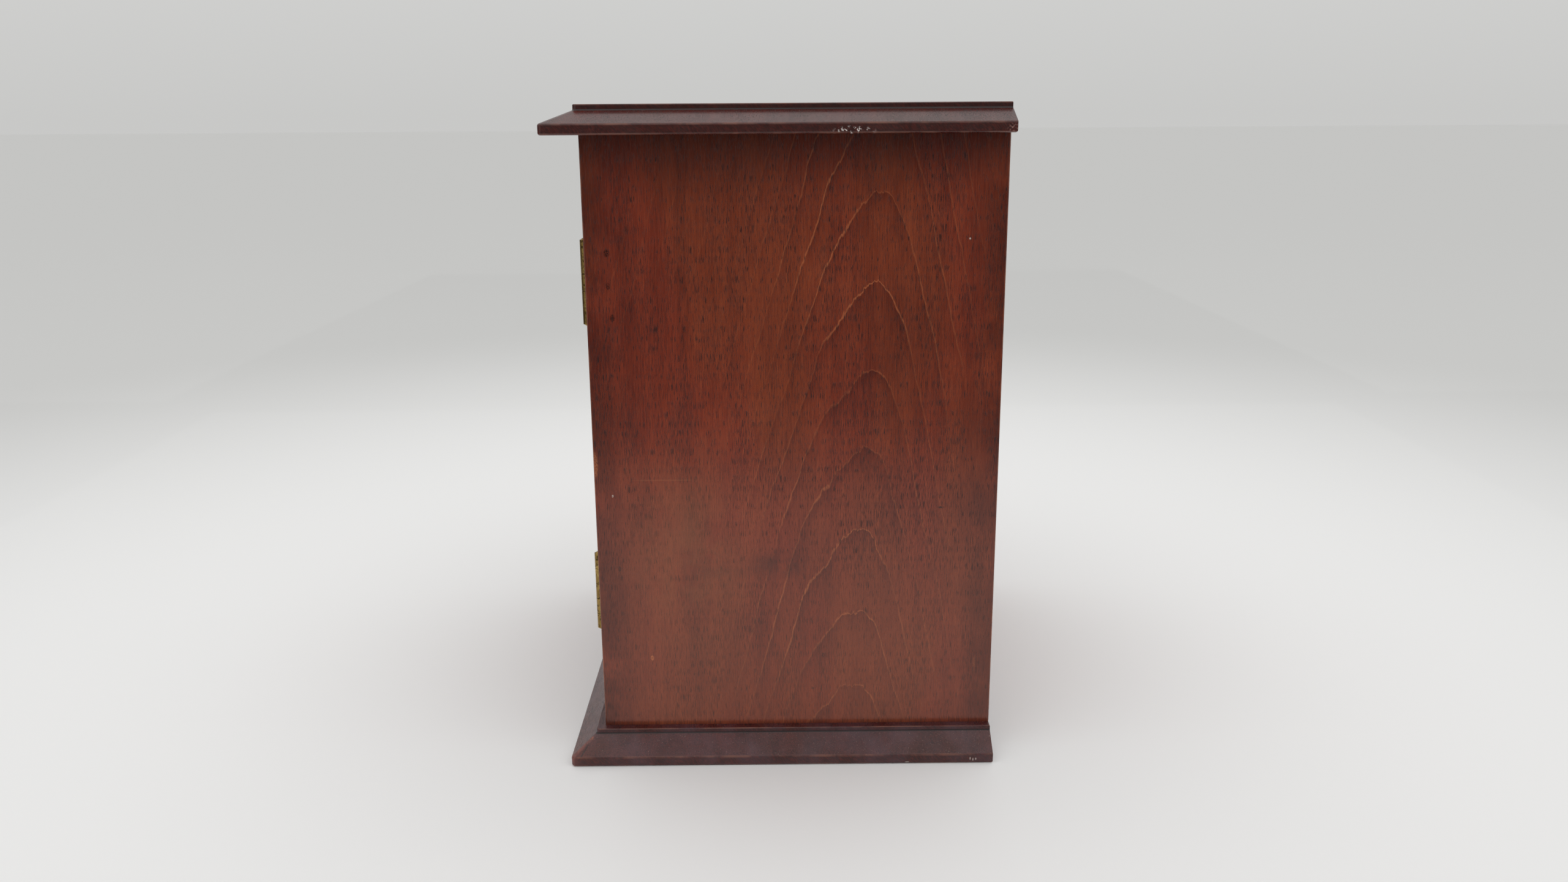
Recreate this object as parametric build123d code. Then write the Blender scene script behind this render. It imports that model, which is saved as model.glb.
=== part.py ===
from build123d import *
import os

# Jewellery armoire: a small table cabinet with one framed door over a nest of
# graduated drawers. Millimetres. +X is the cabinet's right, -Y its front, +Z up.
# The origin is on the floor, in the middle of the footprint.

# Case
case_width = 300.0
case_depth = 250.0
case_height = 374.0
side_thickness = 12.0
back_thickness = 6.0
rabbet_depth = 6.0
arris_radius = 0.8

# Moulded base and top boards, fielded on three sides and flush at the back
overhang = 20.0
base_edge_height = 6.3
base_bevel_height = 9.6
base_lip_height = 3.0
base_field_margin = 5.5
top_edge_height = 6.2
top_bevel_height = 7.4
top_lip_height = 3.4
top_field_margin = 2.5
corner_radius = 2.5
edge_radius = 1.4
lip_radius = 0.7
cove_radius = 1.2

# Tongues of the sides in stopped grooves of the boards
tongue_thickness = 6.0
tongue_height = 5.0
tongue_stop = 12.0

# Door
door_thickness = 20.0
door_gap = 1.0
latch_gap = 1.2
latch_play = 0.2
stile_width = 42.0
top_rail_width = 42.0
bottom_rail_width = 50.0
groove_width = 6.0
groove_depth = 8.0
groove_setback = 8.0
panel_float = 1.0
panel_bevel_run = 22.0
panel_bevel_rise = 3.0
panel_lip_rise = 2.0

# Butt hinges, two inch, five knuckles
hinge_length = 50.8
hinge_reach = 20.0
leaf_thickness = 2.0
knuckle_radius = 2.75
knuckle_count = 5
knuckle_gap = 0.3
knuckle_relief = 0.3
pin_radius = 1.2
pin_clearance = 0.05
pin_tip_height = 1.1
axis_proud = 1.1
upper_hinge_drop = 86.6
lower_hinge_rise = 89.1
hinge_screw_pitch = 19.3
hinge_screw_setback = 14.0
hinge_screw_head_radius = 2.7
hinge_screw_radius = 1.3
hinge_screw_cover = 0.8

# Carcass screws
base_screw_length = 36.0
base_screw_radius = 1.8
base_screw_head_radius = 3.6
base_screw_end = 40.0
back_screw_length = 18.0
back_screw_radius = 1.3
back_screw_head_radius = 2.8
back_screw_end = 30.0
screw_slot_width = 0.7
screw_slot_depth = 0.7

# Lock, bolt and key
lock_width = 30.0
lock_height = 38.0
lock_depth = 10.0
lock_wall = 1.4
lock_plate_thickness = 1.6
lock_plate_margin = 4.0
lock_plate_screw_length = 7.0
lock_plate_screw_head_radius = 1.6
lock_plate_screw_radius = 0.8
bolt_height = 9.0
bolt_thickness = 3.5
bolt_length = 22.0
bolt_rise = 4.0
bolt_travel = 6.5
bolt_clearance = 0.4
key_drop = 5.0
key_setback = 17.0
key_shank_radius = 2.0
key_bit_length = 7.0
key_bit_height = 7.3
key_bit_thickness = 1.8
key_bit_gap = 0.6
key_bow_height = 19.0
key_bow_depth = 14.0
key_bow_thickness = 2.4
key_bow_hole = 0.6
key_collar_radius = 2.9
key_collar_length = 1.5
lock_pin_radius = 1.0
keyhole_clearance = 0.5
escutcheon_width = 13.0
escutcheon_height = 27.0
escutcheon_thickness = 1.2

# Nest of drawers
drawer_count = 5
drawer_growth = 1.15
door_to_drawers = 16.0
packing_thickness = 21.0
packing_depth = 30.0
nest_thickness = 8.0
divider_thickness = 6.0
divider_housing = 3.0
drawer_clearance = 0.8
drawer_end_space = 4.0
drawer_front_thickness = 10.0
drawer_side_thickness = 6.0
drawer_side_drop = 2.0
drawer_bottom_thickness = 4.0
drawer_bottom_rise = 3.0
drawer_bottom_housing = 2.5
dovetail_length = 7.0
dovetail_pitch = 20.0
dovetail_flare = 0.18
dovetail_pin = 5.0
lining_wall = 1.6
lining_floor = 2.0
lining_drop = 3.0

# Ring rolls in the top drawer
roll_pitch = 22.5
roll_gap = 1.6
roll_height = 21.0

# Drawer knobs
knob_projection = 13.0
knob_radius = 6.5
knob_neck_radius = 2.8
knob_rose_radius = 5.2
knob_shank_radius = 1.8
knob_shank_length = 8.0

# Places worked out from the sizes above
base_thickness = base_edge_height + base_bevel_height + base_lip_height
back_y = (case_depth + overhang) / 2
front_y = back_y - case_depth
top_z = base_thickness + case_height
side_inner_x = case_width / 2 - side_thickness
panel_front_y = back_y - back_thickness
door_inner_y = front_y + door_thickness
axis_x = side_inner_x - door_gap / 2
axis_y = front_y - axis_proud
upper_hinge_z = top_z - upper_hinge_drop
lower_hinge_z = base_thickness + lower_hinge_rise
door_right_x = side_inner_x - door_gap
door_left_x = -side_inner_x + latch_gap
door_width = door_right_x - door_left_x
door_low_z = base_thickness + door_gap
door_high_z = top_z - door_gap
latch_bevel = (door_thickness + axis_proud) ** 2 / (2 * door_width) + latch_play
lock_z = (door_low_z + door_high_z) / 2
lock_left_x = door_left_x + latch_bevel
key_x = lock_left_x + key_setback
key_z = lock_z - key_drop
nest_front_y = door_inner_y + door_to_drawers
nest_inner_x = side_inner_x - packing_thickness - nest_thickness
drawer_back_y = panel_front_y - drawer_end_space
drawer_half_width = nest_inner_x - drawer_clearance


def block(low, high):
    """Box between two opposite corners."""
    size = [b - a for a, b in zip(low, high)]
    middle = [(a + b) / 2 for a, b in zip(low, high)]
    return Pos(*middle) * Box(*size)


def turned(profile, place):
    """Solid of revolution: profile points are (radius, height) about a local Z axis."""
    face = make_face(Plane.XZ * Polyline(*profile, close=True))
    return place * revolve(face, Axis.Z, 360)


def slotted_screw(place, head_radius, radius, length):
    """Countersunk wood screw whose head is flush at the place's origin and runs along its -Z."""
    head_height = head_radius - radius
    point_length = 2 * radius
    profile = [
        (0, 0),
        (head_radius, 0),
        (radius, -head_height),
        (radius, point_length - length),
        (0, -length),
    ]
    solid = turned(profile, place)
    slot = block(
        (-head_radius, -screw_slot_width / 2, -screw_slot_depth),
        (head_radius, screw_slot_width / 2, screw_slot_depth),
    )
    return solid, solid - place * slot


def outline(reach, z):
    """Plan of a board that passes the case by reach at the front and sides only."""
    width = case_width + 2 * reach
    depth = case_depth + reach
    sketch = Pos(0, back_y - depth / 2) * Rectangle(width, depth)
    front_corners = sketch.vertices().group_by(Axis.Y)[0]
    return Pos(0, 0, z) * fillet(front_corners, corner_radius)


def edges_at(shape, z):
    """Level edges of a board at one height."""
    return shape.edges().filter_by_position(Axis.Z, z - 0.01, z + 0.01)


def front_edges_at(shape, z):
    """Level edges of a board at one height, without those at its back."""
    return edges_at(shape, z).filter_by(lambda edge: edge.center().Y < back_y - 0.01)


def fielded_board(z, edge_height, bevel_height, lip_height, field_margin):
    """Board with a square edge, a sloping bevel and a raised field."""
    bevel_z = z + edge_height
    lip_z = bevel_z + bevel_height
    board = extrude(outline(overhang, z), edge_height)
    board += loft([outline(overhang, bevel_z), outline(field_margin, lip_z)], ruled=True)
    board += extrude(outline(field_margin, lip_z), lip_height)
    board = fillet(front_edges_at(board, lip_z), cove_radius)
    board = fillet(front_edges_at(board, bevel_z), edge_radius)
    board = fillet(edges_at(board, lip_z + lip_height), lip_radius)
    return fillet(edges_at(board, z), edge_radius)


def side_tongues(sign):
    """Tongues on the ends of one side, where they enter the boards."""
    outer_x = case_width / 2 - (side_thickness - tongue_thickness) / 2
    inner_x = outer_x - tongue_thickness
    tongues = []
    for low_z in (base_thickness - tongue_height, top_z):
        tongues.append(
            block(
                (min(sign * inner_x, sign * outer_x), front_y + tongue_stop, low_z),
                (
                    max(sign * inner_x, sign * outer_x),
                    back_y - tongue_stop,
                    low_z + tongue_height,
                ),
            )
        )
    return tongues


def hinge_screw_heights():
    """Heights of the screws of both hinges."""
    heights = []
    for hinge_z in (upper_hinge_z, lower_hinge_z):
        for step in (-1, 0, 1):
            heights.append(hinge_z + step * hinge_screw_pitch)
    return heights


def hinge_screws(sign):
    """Screws through the case leaves (sign 1) or the door leaves (sign -1)."""
    length = side_thickness - hinge_screw_cover
    face_x = axis_x + sign * door_gap / 2
    pairs = []
    for z in hinge_screw_heights():
        place = Pos(face_x, front_y + hinge_screw_setback, z) * Rot(0, -90 * sign, 0)
        pairs.append(slotted_screw(place, hinge_screw_head_radius, hinge_screw_radius, length))
    return pairs


def base_screws():
    """Screws up through the base board into the ends of the sides."""
    middle_x = case_width / 2 - side_thickness / 2
    pairs = []
    for x in (-middle_x, middle_x):
        for y in (front_y + base_screw_end, (front_y + back_y) / 2, back_y - base_screw_end):
            place = Pos(x, y, 0) * Rot(180, 0, 0)
            pairs.append(
                slotted_screw(place, base_screw_head_radius, base_screw_radius, base_screw_length)
            )
    return pairs


def back_screws():
    """Screws through the back panel into the rabbets of the sides."""
    x_reach = side_inner_x + rabbet_depth / 2
    middle_z = base_thickness + case_height / 2
    pairs = []
    for x in (-x_reach, x_reach):
        for z in (base_thickness + back_screw_end, middle_z, top_z - back_screw_end):
            place = Pos(x, back_y, z) * Rot(-90, 0, 0)
            pairs.append(
                slotted_screw(place, back_screw_head_radius, back_screw_radius, back_screw_length)
            )
    return pairs


def blanks(pairs):
    """Unslotted screws, for cutting their holes."""
    return [pair[0] for pair in pairs]


def screws(pairs):
    """The screws of one group as separate solids."""
    return Compound(children=[pair[1] for pair in pairs])


def knuckle_span(index):
    """Low and high end of one knuckle, from the middle of the hinge."""
    pitch = (hinge_length + knuckle_gap) / knuckle_count
    low = index * pitch - hinge_length / 2
    return low, low + pitch - knuckle_gap


def hinge_leaf(hinge_z, sign):
    """Leaf with its knuckles: the case leaf (sign 1) has the outer ones, the door leaf the others."""
    half = hinge_length / 2
    plate_x = (sign * door_gap / 2, sign * (door_gap / 2 + leaf_thickness))
    leaf = block((min(plate_x), 0, -half), (max(plate_x), hinge_reach, half))
    own_first = 0 if sign > 0 else 1
    for index in range(1 - own_first, knuckle_count, 2):
        low, high = knuckle_span(index)
        room = Cylinder(knuckle_radius + knuckle_relief, high - low + 2 * knuckle_gap)
        leaf -= Pos(0, 0, (low + high) / 2) * room
    for index in range(own_first, knuckle_count, 2):
        low, high = knuckle_span(index)
        leaf += Pos(0, 0, (low + high) / 2) * Cylinder(knuckle_radius, high - low)
    leaf -= Cylinder(pin_radius + pin_clearance, 2 * hinge_length)
    leaf = Pos(axis_x, axis_y, hinge_z) * leaf
    for blank in blanks(hinge_screws(sign)):
        leaf -= blank
    return leaf


def hinge_pin(hinge_z):
    """Pin with a low domed tip at each end."""
    half = hinge_length / 2
    tip_radius = knuckle_radius * 0.8
    profile = [
        (0, -half - pin_tip_height),
        (tip_radius * 0.6, -half - pin_tip_height * 0.8),
        (tip_radius, -half),
        (pin_radius, -half),
        (pin_radius, half),
        (tip_radius, half),
        (tip_radius * 0.6, half + pin_tip_height * 0.8),
        (0, half + pin_tip_height),
    ]
    return turned(profile, Pos(axis_x, axis_y, hinge_z))


def hinge_room(hinge_z, sign):
    """What one hinge needs cut from the side (sign 1) or the stile (sign -1)."""
    half = hinge_length / 2
    relief_radius = knuckle_radius + knuckle_relief
    relief_length = hinge_length + 2 * (pin_tip_height + knuckle_relief)
    plate_x = (sign * door_gap / 2, sign * (door_gap / 2 + leaf_thickness))
    recess = block((min(plate_x), 0, -half), (max(plate_x), hinge_reach, half))
    room = recess + Cylinder(relief_radius, relief_length)
    return Pos(axis_x, axis_y, hinge_z) * room


def bolt_box(throw, clearance):
    """Box of the bolt, moved out by throw and grown by clearance."""
    low_y = door_inner_y - lock_plate_thickness - bolt_clearance - bolt_thickness
    low_z = lock_z + bolt_rise
    return block(
        (lock_left_x - throw - clearance, low_y - clearance, low_z - clearance),
        (
            lock_left_x + bolt_length - throw + clearance,
            low_y + bolt_thickness + clearance,
            low_z + bolt_height + clearance,
        ),
    )


def case_side(sign):
    """Left (sign -1) or right (sign 1) side board."""
    x_span = (sign * side_inner_x, sign * case_width / 2)
    side = block((min(x_span), front_y, base_thickness), (max(x_span), back_y, top_z))
    outer = side.edges().filter_by(Axis.Z).group_by(Axis.X)[-1 if sign > 0 else 0]
    side = fillet(outer, arris_radius)
    rabbet_x = (sign * side_inner_x, sign * (side_inner_x + rabbet_depth))
    side -= block((min(rabbet_x), panel_front_y, base_thickness), (max(rabbet_x), back_y, top_z))
    for tongue in side_tongues(sign):
        side += tongue
    for blank in blanks(base_screws()) + blanks(back_screws()):
        side -= blank
    if sign > 0:
        for hinge_z in (upper_hinge_z, lower_hinge_z):
            side -= hinge_room(hinge_z, 1)
        for blank in blanks(hinge_screws(1)):
            side -= blank
    else:
        side -= bolt_box(bolt_travel, bolt_clearance)
    return side


def back_panel():
    """Thin board in the rabbets of the sides."""
    reach = side_inner_x + rabbet_depth
    panel = block((-reach, panel_front_y, base_thickness), (reach, back_y, top_z))
    for blank in blanks(back_screws()):
        panel -= blank
    return panel


def base_board():
    """Moulded base, grooved for the sides and drilled for their screws."""
    board = fielded_board(
        0, base_edge_height, base_bevel_height, base_lip_height, base_field_margin
    )
    for cut in side_tongues(-1) + side_tongues(1) + blanks(base_screws()):
        board -= cut
    return board


def top_board():
    """Moulded top, grooved for the sides."""
    board = fielded_board(
        top_z, top_edge_height, top_bevel_height, top_lip_height, top_field_margin
    )
    for cut in side_tongues(-1) + side_tongues(1):
        board -= cut
    return board


def opening_edges():
    """Edges of the opening that the panel fills: left, right, low and high."""
    left = door_left_x + stile_width
    right = door_right_x - stile_width
    low = door_low_z + bottom_rail_width
    high = door_high_z - top_rail_width
    return left, right, low, high


def stile_groove(inner_x, sign):
    """Groove along a stile's inner edge; sign is the way into the stile."""
    low_y = front_y + groove_setback
    x_span = (inner_x, inner_x + sign * groove_depth)
    return block(
        (min(x_span), low_y, door_low_z), (max(x_span), low_y + groove_width, door_high_z)
    )


def door_hinge_stile():
    """Right stile, let in for the hinge leaves."""
    _, right, _, _ = opening_edges()
    stile = block((right, front_y, door_low_z), (door_right_x, door_inner_y, door_high_z))
    stile -= stile_groove(right, 1)
    for hinge_z in (upper_hinge_z, lower_hinge_z):
        stile -= hinge_room(hinge_z, -1)
    for blank in blanks(hinge_screws(-1)):
        stile -= blank
    return stile


def keyhole(low_y, high_y):
    """Keyhole through whatever lies between two depths."""
    radius = key_shank_radius + keyhole_clearance
    half_slot = key_bit_thickness / 2 + keyhole_clearance
    reach = key_bit_height + keyhole_clearance
    depth = high_y - low_y
    barrel = Pos(key_x, (low_y + high_y) / 2, key_z) * Rot(90, 0, 0) * Cylinder(radius, depth)
    slot = block(
        (key_x - half_slot, low_y, key_z - reach), (key_x + half_slot, high_y, key_z)
    )
    return barrel + slot


def lock_solid(clearance):
    """Outer shape of the lock: a body with a wider plate behind it."""
    low_y = door_inner_y - lock_depth
    plate_y = door_inner_y - lock_plate_thickness
    half = lock_height / 2 + clearance
    plate_half = half + lock_plate_margin
    body = block(
        (lock_left_x, low_y - clearance, lock_z - half),
        (lock_left_x + lock_width + clearance, plate_y, lock_z + half),
    )
    plate = block(
        (lock_left_x, plate_y, lock_z - plate_half),
        (lock_left_x + lock_width + lock_plate_margin + clearance, door_inner_y, lock_z + plate_half),
    )
    return body + plate


def lock_screws():
    """Screws that hold the lock's plate to the stile."""
    pairs = []
    for step in (-1, 1):
        for x in (lock_left_x + lock_plate_margin, lock_left_x + lock_width):
            z = lock_z + step * (lock_height / 2 + lock_plate_margin / 2)
            place = Pos(x, door_inner_y, z) * Rot(-90, 0, 0)
            pairs.append(
                slotted_screw(
                    place,
                    lock_plate_screw_head_radius,
                    lock_plate_screw_radius,
                    lock_plate_screw_length,
                )
            )
    return pairs


def door_lock_stile():
    """Left stile, eased at its edge so that it swings clear, and let in for the lock."""
    left, _, _, _ = opening_edges()
    plan = Polyline(
        (door_left_x, front_y),
        (left, front_y),
        (left, door_inner_y),
        (door_left_x + latch_bevel, door_inner_y),
        close=True,
    )
    stile = Pos(0, 0, door_low_z) * extrude(make_face(plan), door_high_z - door_low_z)
    stile -= stile_groove(left, -1)
    stile -= lock_solid(0)
    reach = lock_height / 2
    stile -= block(
        (door_left_x, door_inner_y - lock_depth, lock_z - reach),
        (lock_left_x, door_inner_y, lock_z + reach),
    )
    stile -= keyhole(front_y, door_inner_y)
    for blank in blanks(lock_screws()):
        stile -= blank
    return stile


def door_rail(low_z, high_z, inner_sign):
    """Rail between the stiles; inner_sign is +1 where the panel is above it."""
    left, right, _, _ = opening_edges()
    groove_low = front_y + groove_setback
    rail = block((left, front_y, low_z), (right, door_inner_y, high_z))
    rail += block(
        (left - groove_depth, groove_low, low_z),
        (right + groove_depth, groove_low + groove_width, high_z),
    )
    edge_z = high_z if inner_sign > 0 else low_z
    z_span = (edge_z, edge_z - inner_sign * groove_depth)
    return rail - block(
        (left - groove_depth, groove_low, min(z_span)),
        (right + groove_depth, groove_low + groove_width, max(z_span)),
    )


def door_panel():
    """Raised and fielded panel, free to move in its grooves."""
    left, right, low, high = opening_edges()
    tongue = groove_depth - panel_float
    back_plane_y = front_y + groove_setback + groove_width
    bevel_y = front_y + groove_setback
    lip_y = bevel_y - panel_bevel_rise
    panel = block(
        (left - tongue, bevel_y, low - tongue), (right + tongue, back_plane_y, high + tongue)
    )
    levels = []
    for inset, y in ((0, bevel_y), (panel_bevel_run, lip_y)):
        middle = ((left + right) / 2, y, (low + high) / 2)
        plane = Plane(origin=middle, x_dir=(1, 0, 0), z_dir=(0, -1, 0))
        width = right - left - 2 * inset
        height = high - low - 2 * inset
        levels.append(plane * Rectangle(width, height))
    panel += loft(levels, ruled=True)
    return panel + block(
        (left + panel_bevel_run, lip_y - panel_lip_rise, low + panel_bevel_run),
        (right - panel_bevel_run, lip_y, high - panel_bevel_run),
    )


def lock_case():
    """Hollow brass lock with its pin for the key and a slot for the bolt."""
    cavity_low_y = door_inner_y - lock_depth + lock_wall
    cavity_high_y = door_inner_y - lock_plate_thickness
    half = lock_height / 2 - lock_wall
    case = lock_solid(0)
    case -= block(
        (lock_left_x + lock_wall, cavity_low_y, lock_z - half),
        (lock_left_x + lock_width - lock_wall, cavity_high_y, lock_z + half),
    )
    case -= keyhole(door_inner_y - lock_depth, cavity_low_y)
    slot_y = cavity_high_y - bolt_clearance - bolt_thickness
    case -= block(
        (lock_left_x, slot_y - bolt_clearance, lock_z + bolt_rise - bolt_clearance),
        (lock_left_x + lock_wall, cavity_high_y, lock_z + bolt_rise + bolt_height + bolt_clearance),
    )
    pin_length = lock_depth - lock_plate_thickness - lock_wall
    pin = Rot(90, 0, 0) * Cylinder(lock_pin_radius, pin_length)
    case += Pos(key_x, cavity_high_y - pin_length / 2, key_z) * pin
    for blank in blanks(lock_screws()):
        case -= blank
    return case


def lock_key():
    """Barrel key with an oval bow, a collar and a plain bit that points down."""
    tip_y = door_inner_y - lock_plate_thickness - bolt_clearance
    bow_back_y = front_y - escutcheon_thickness - key_collar_length
    bow_y = bow_back_y - key_bow_depth / 2
    shank_length = tip_y - bow_back_y
    shank = Rot(90, 0, 0) * Cylinder(key_shank_radius, shank_length)
    key = Pos(key_x, (tip_y + bow_back_y) / 2, key_z) * shank
    collar = Rot(90, 0, 0) * Cylinder(key_collar_radius, key_collar_length)
    collar_y = front_y - escutcheon_thickness - keyhole_clearance - key_collar_length / 2
    key += Pos(key_x, collar_y, key_z) * collar
    bow_middle = (key_x - key_bow_thickness / 2, bow_y, key_z)
    bow_plane = Plane(origin=bow_middle, x_dir=(0, 1, 0), z_dir=(1, 0, 0))
    bow = Ellipse(key_bow_depth / 2, key_bow_height / 2)
    bow -= Ellipse(key_bow_depth / 2 * key_bow_hole, key_bow_height / 2 * key_bow_hole)
    key += extrude(bow_plane * bow, key_bow_thickness)
    bit_high_y = tip_y - bolt_clearance
    bit_low_y = max(bit_high_y - key_bit_length, door_inner_y - lock_depth + lock_wall + key_bit_gap)
    key += block(
        (key_x - key_bit_thickness / 2, bit_low_y, key_z - key_bit_height),
        (key_x + key_bit_thickness / 2, bit_high_y, key_z - lock_pin_radius),
    )
    bore_length = lock_depth
    bore = Rot(90, 0, 0) * Cylinder(lock_pin_radius + pin_clearance, bore_length)
    return key - Pos(key_x, tip_y - bore_length / 2, key_z) * bore


def keyhole_escutcheon():
    """Oval plate around the keyhole, on the face of the stile."""
    middle_z = key_z - key_bit_height / 3
    plane = Plane(origin=(key_x, front_y, middle_z), x_dir=(1, 0, 0), z_dir=(0, -1, 0))
    oval = plane * Ellipse(escutcheon_width / 2, escutcheon_height / 2)
    plate = extrude(oval, escutcheon_thickness)
    return plate - keyhole(front_y - escutcheon_thickness, front_y)


def nest_side(sign):
    """Side of the drawer nest, housed for the dividers."""
    x_span = (sign * nest_inner_x, sign * (nest_inner_x + nest_thickness))
    side = block((min(x_span), nest_front_y, base_thickness), (max(x_span), panel_front_y, top_z))
    for cut in divider_solids():
        side -= cut
    return side


def packing_strips():
    """Strips that stand the nest off the sides, so that drawers pass the open door."""
    strips = []
    low_x = side_inner_x - packing_thickness
    for sign in (-1, 1):
        x_span = (sign * low_x, sign * side_inner_x)
        for low_y in (nest_front_y, panel_front_y - packing_depth):
            strips.append(
                block(
                    (min(x_span), low_y, base_thickness),
                    (max(x_span), low_y + packing_depth, top_z),
                )
            )
    return Compound(children=strips)


def drawer_bays():
    """Low and high edge of each bay, from the top one down."""
    clear_height = case_height - (drawer_count - 1) * divider_thickness
    weights = [drawer_growth**index for index in range(drawer_count)]
    bays = []
    high = top_z
    for weight in weights:
        low = high - clear_height * weight / sum(weights)
        bays.append((low, high))
        high = low - divider_thickness
    return bays


def divider_solids():
    """Boards between the drawers."""
    reach = nest_inner_x + divider_housing
    boards = []
    for low, _ in drawer_bays()[:-1]:
        boards.append(
            block((-reach, nest_front_y, low - divider_thickness), (reach, panel_front_y, low))
        )
    return boards


def drawer_levels(bay):
    """Low edge, high edge of the front and high edge of the sides of one drawer."""
    low = bay[0] + drawer_clearance
    high = bay[1] - drawer_clearance
    return low, high, high - drawer_side_drop


def dovetails(bay, sign):
    """Tails on the front end of one drawer side."""
    low, _, side_high = drawer_levels(bay)
    count = max(2, round((side_high - low) / dovetail_pitch))
    pitch = (side_high - low) / count
    inner_y = nest_front_y + drawer_front_thickness
    narrow = (pitch - dovetail_pin) / 2
    wide = narrow + dovetail_length * dovetail_flare
    x_span = (sign * (drawer_half_width - drawer_side_thickness), sign * drawer_half_width)
    tails = []
    for index in range(count):
        middle = low + (index + 0.5) * pitch
        outline_points = Polyline(
            (inner_y, middle - narrow),
            (inner_y, middle + narrow),
            (inner_y - dovetail_length, middle + wide),
            (inner_y - dovetail_length, middle - wide),
            close=True,
        )
        plane = Plane(origin=(min(x_span), 0, 0), x_dir=(0, 1, 0), z_dir=(1, 0, 0))
        tails.append(extrude(plane * make_face(outline_points), drawer_side_thickness))
    return tails


def bottom_board(bay):
    """Bottom of one drawer, housed in the front and sides and run out under the back."""
    low = drawer_levels(bay)[0] + drawer_bottom_rise
    reach = drawer_half_width - drawer_side_thickness + drawer_bottom_housing
    front = nest_front_y + drawer_front_thickness - drawer_bottom_housing
    return block((-reach, front, low), (reach, drawer_back_y, low + drawer_bottom_thickness))


def knob_place(bay):
    """Point on the drawer's face where its knob sits, with local Z forwards."""
    low, high, _ = drawer_levels(bay)
    return Pos(0, nest_front_y, (low + high) / 2) * Rot(90, 0, 0)


def drawer_front(bay):
    """Front with blind sockets for the tails."""
    low, high, _ = drawer_levels(bay)
    front = block(
        (-drawer_half_width, nest_front_y, low),
        (drawer_half_width, nest_front_y + drawer_front_thickness, high),
    )
    for tail in dovetails(bay, -1) + dovetails(bay, 1):
        front -= tail
    front -= bottom_board(bay)
    hole = Pos(0, 0, -knob_shank_length / 2) * Cylinder(knob_shank_radius, knob_shank_length)
    return front - knob_place(bay) * hole


def drawer_sides(bay):
    """Both sides of one drawer, grooved for the bottom."""
    low, _, side_high = drawer_levels(bay)
    front = nest_front_y + drawer_front_thickness
    sides = []
    for sign in (-1, 1):
        x_span = (sign * (drawer_half_width - drawer_side_thickness), sign * drawer_half_width)
        side = block((min(x_span), front, low), (max(x_span), drawer_back_y, side_high))
        for tail in dovetails(bay, sign):
            side += tail
        sides.append(side - bottom_board(bay))
    return Compound(children=sides)


def drawer_back(bay):
    """Back, between the sides and on the bottom board."""
    low, _, side_high = drawer_levels(bay)
    reach = drawer_half_width - drawer_side_thickness
    low += drawer_bottom_rise + drawer_bottom_thickness
    return block(
        (-reach, drawer_back_y - drawer_side_thickness, low), (reach, drawer_back_y, side_high)
    )


def lining_block(bay, inset, floor, high):
    """Block of the drawer's inside, drawn in from the walls and up from the floor."""
    low = drawer_levels(bay)[0] + drawer_bottom_rise + drawer_bottom_thickness
    reach = drawer_half_width - drawer_side_thickness - inset
    front = nest_front_y + drawer_front_thickness + inset
    back = drawer_back_y - drawer_side_thickness - inset
    return block((-reach, front, low + floor), (reach, back, high))


def drawer_lining(bay):
    """Velvet tray against the drawer's walls and floor."""
    high = drawer_levels(bay)[2] - lining_drop
    tray = lining_block(bay, 0, 0, high)
    return tray - lining_block(bay, lining_wall, lining_floor, high)


def drawer_knob(bay):
    """Turned knob with a rose, a neck and a low domed head."""
    head_height = knob_projection * 0.45
    profile = [
        (0, -knob_shank_length),
        (knob_shank_radius, -knob_shank_length),
        (knob_shank_radius, 0),
        (knob_rose_radius, 0),
        (knob_rose_radius, 1.0),
        (knob_neck_radius + 0.8, 2.0),
        (knob_neck_radius, 3.2),
        (knob_neck_radius, knob_projection - head_height - 0.8),
        (knob_radius * 0.8, knob_projection - head_height),
        (knob_radius, knob_projection - head_height * 0.6),
        (knob_radius * 0.94, knob_projection - head_height * 0.3),
        (knob_radius * 0.6, knob_projection - head_height * 0.08),
        (0, knob_projection),
    ]
    return turned(profile, knob_place(bay))


def ring_rolls(bay):
    """Padded rolls across the top drawer, with slots for rings between them."""
    low = drawer_levels(bay)[0] + drawer_bottom_rise + drawer_bottom_thickness + lining_floor
    reach = drawer_half_width - drawer_side_thickness - lining_wall
    front = nest_front_y + drawer_front_thickness + lining_wall
    back = drawer_back_y - drawer_side_thickness - lining_wall
    count = int((back - front) // roll_pitch)
    pitch = (back - front) / count
    width = pitch - roll_gap
    rolls = []
    for index in range(count):
        middle = front + (index + 0.5) * pitch
        roll = block(
            (-reach, middle - width / 2, low), (reach, middle + width / 2, low + roll_height)
        )
        upper = roll.edges().filter_by(Axis.X).group_by(Axis.Z)[-1]
        rolls.append(fillet(upper, width * 0.42))
    return Compound(children=rolls)


def door_pieces():
    """Everything that swings with the door, apart from the key and the bolt."""
    _, _, low, high = opening_edges()
    return {
        "door_hinge_stile": door_hinge_stile(),
        "door_lock_stile": door_lock_stile(),
        "door_bottom_rail": door_rail(door_low_z, low, 1),
        "door_top_rail": door_rail(high, door_high_z, -1),
        "door_panel": door_panel(),
        "hinge_door_screws": screws(hinge_screws(-1)),
        "lock_case": lock_case(),
        "lock_screws": screws(lock_screws()),
        "keyhole_escutcheon": keyhole_escutcheon(),
    }


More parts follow.
